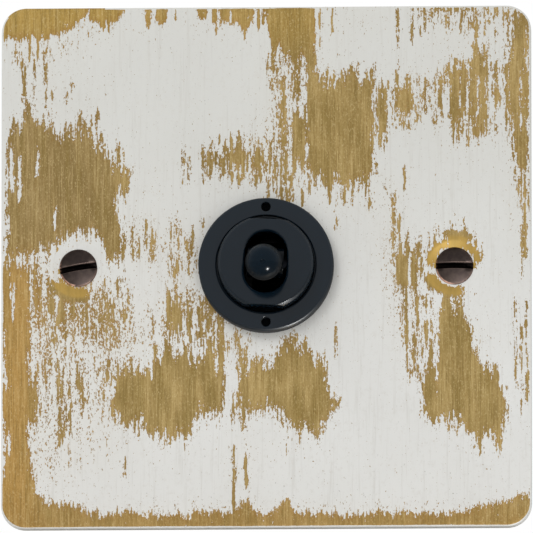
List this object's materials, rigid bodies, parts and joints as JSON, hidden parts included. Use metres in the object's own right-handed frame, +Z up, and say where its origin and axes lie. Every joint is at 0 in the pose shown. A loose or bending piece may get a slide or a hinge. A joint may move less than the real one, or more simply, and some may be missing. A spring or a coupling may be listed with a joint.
{
  "type": "dolly light switch",
  "caption": "Square painted brass plate, rubbed back to metal, with a black dolly switch, ring nut, slotted fixing screws and the switch body behind.",
  "frame": {"origin": "centre of the plate's back face, where it meets the wall, midway between the two fixing screws", "axes": "+X to the right as seen from the front, +Z up, +Y into the wall, so the front faces -Y"},
  "size_m": [0.085, 0.0441, 0.085],
  "materials": {
    "plate_finish": "off-white paint on brushed brass, rubbed back to the metal in ragged upright patches",
    "bronze_screw": "dark bronze, satin, with a worn slot",
    "black_ring": "black enamel, half gloss",
    "black_gloss": "black moulding, half gloss",
    "moulding": "black moulding, matt",
    "fibre": "red vulcanised fibre",
    "steel": "bright zinc plate",
    "spring_wire": "drawn steel wire",
    "bare_brass": "bare rolled brass",
    "contact_silver": "silver alloy buttons",
    "black_nylon": "black nylon, satin",
    "blued_steel": "ground steel, blued dark",
    "dull_brass": "brass gone dark and dull with use"
  },
  "bodies": {
    "housing": {"front_plate": "plate_finish", "fixing_screws": "bronze_screw", "ring_nut": "black_ring", "bush_washer": "fibre", "housing_cover": "black_gloss", "housing_base": "moulding", "housing_screws": "steel", "pivot_pin": "blued_steel", "pivot_keeper": "black_nylon", "fixed_contact_top": "contact_silver", "fixed_contact_bottom": "contact_silver", "contact_arm_top": "bare_brass", "contact_arm_bottom": "bare_brass", "common_strip": "bare_brass", "terminal_block_top": "bare_brass", "terminal_block_common": "bare_brass", "terminal_block_bottom": "bare_brass", "terminal_screws": "steel", "earth_block": "bare_brass", "earth_screw": "steel"},
    "dolly": {"dolly": "black_gloss", "plunger_spring": "spring_wire"},
    "plunger": {"plunger": "black_nylon"},
    "rocker": {"rocker": "dull_brass", "moving_contact_top": "contact_silver", "moving_contact_bottom": "contact_silver"}
  },
  "joints": [
    {"name": "dolly_tilt", "type": "hinge", "parent": "housing", "child": "dolly", "pos_m": [0, -0.0047, 0], "axis": [-0.9986, 0, 0.0523], "range_deg": [0, 20]},
    {"name": "plunger_slide", "type": "slide", "parent": "dolly", "child": "plunger", "axis": [-0.0091, -0.9848, -0.1734], "range_m": [0, 0.0008], "stiffness_N_per_m": 400, "deforming": ["plunger_spring"]},
    {"name": "rocker_tilt", "type": "hinge", "parent": "housing", "child": "rocker", "pos_m": [0, 0.009, 0], "axis": [0.9986, 0, -0.0523], "range_deg": [0, 8]}
  ],
  "couplings": [
    {"joint": "rocker_tilt", "follows": "dolly_tilt", "ratio": 0.4}
  ]
}
